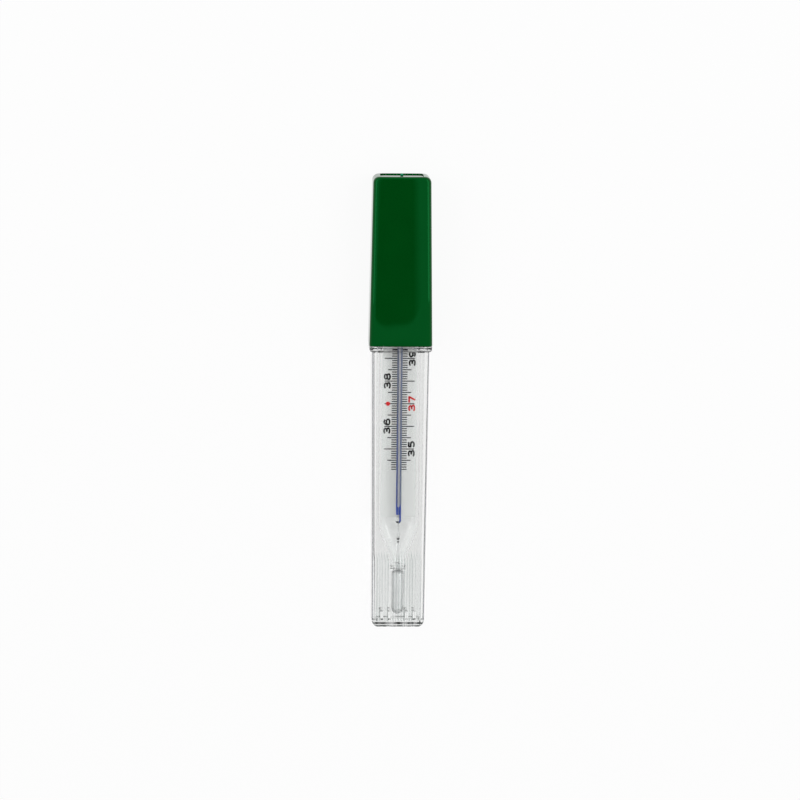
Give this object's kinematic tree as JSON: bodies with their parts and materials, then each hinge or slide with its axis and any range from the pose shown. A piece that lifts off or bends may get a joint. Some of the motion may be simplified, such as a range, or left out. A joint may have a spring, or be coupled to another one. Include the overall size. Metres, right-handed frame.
{
  "type": "clinical thermometer in a travel case",
  "caption": "Enclosed-scale glass fever thermometer with a liquid-metal thread, in a clear drafted travel case with a collar and a green push-on cap.",
  "frame": {"origin": "middle of the length and width, on the surface that the cased thermometer lies on", "axes": "+Y along the case towards the closed end of the cap, +Z out of the scale, +X to the right of the scale"},
  "size_m": [0.018, 0.1304, 0.012],
  "materials": {
    "clear_plastic": "clear moulded polystyrene, polished, with fine mould lines in the lower end",
    "green_plastic": "opaque deep green, high gloss",
    "clear_glass": "clear drawn glass",
    "bulb_glass": "thin clear glass",
    "blue_enamel": "blue enamel band",
    "scale_white": "satin white with a printed scale",
    "liquid_metal": "bright liquid metal"
  },
  "bodies": {
    "case": {"case": "clear_plastic"},
    "thermometer": {"envelope": "clear_glass", "end_plug": "green_plastic", "bulb": "bulb_glass", "stem_capillary": "clear_glass", "scale_capillary": "clear_glass", "backing_strip": "blue_enamel", "scale_plate": "scale_white", "bulb_liquid": "liquid_metal", "liquid_thread": "liquid_metal"},
    "cap": {"cap": "green_plastic"},
    "meniscus": {"meniscus": "liquid_metal"}
  },
  "joints": [
    {"name": "thermometer_slide", "type": "slide", "parent": "case", "child": "thermometer", "axis": [0, 1, 0], "range_m": [0, 0.1]},
    {"name": "cap_pull", "type": "slide", "parent": "thermometer", "child": "cap", "axis": [0, 1, 0], "range_m": [0, 0.055]},
    {"name": "reading", "type": "slide", "parent": "thermometer", "child": "meniscus", "axis": [0, 1, 0], "range_m": [-0.04585, 0], "deforming": ["liquid_thread"]}
  ]
}
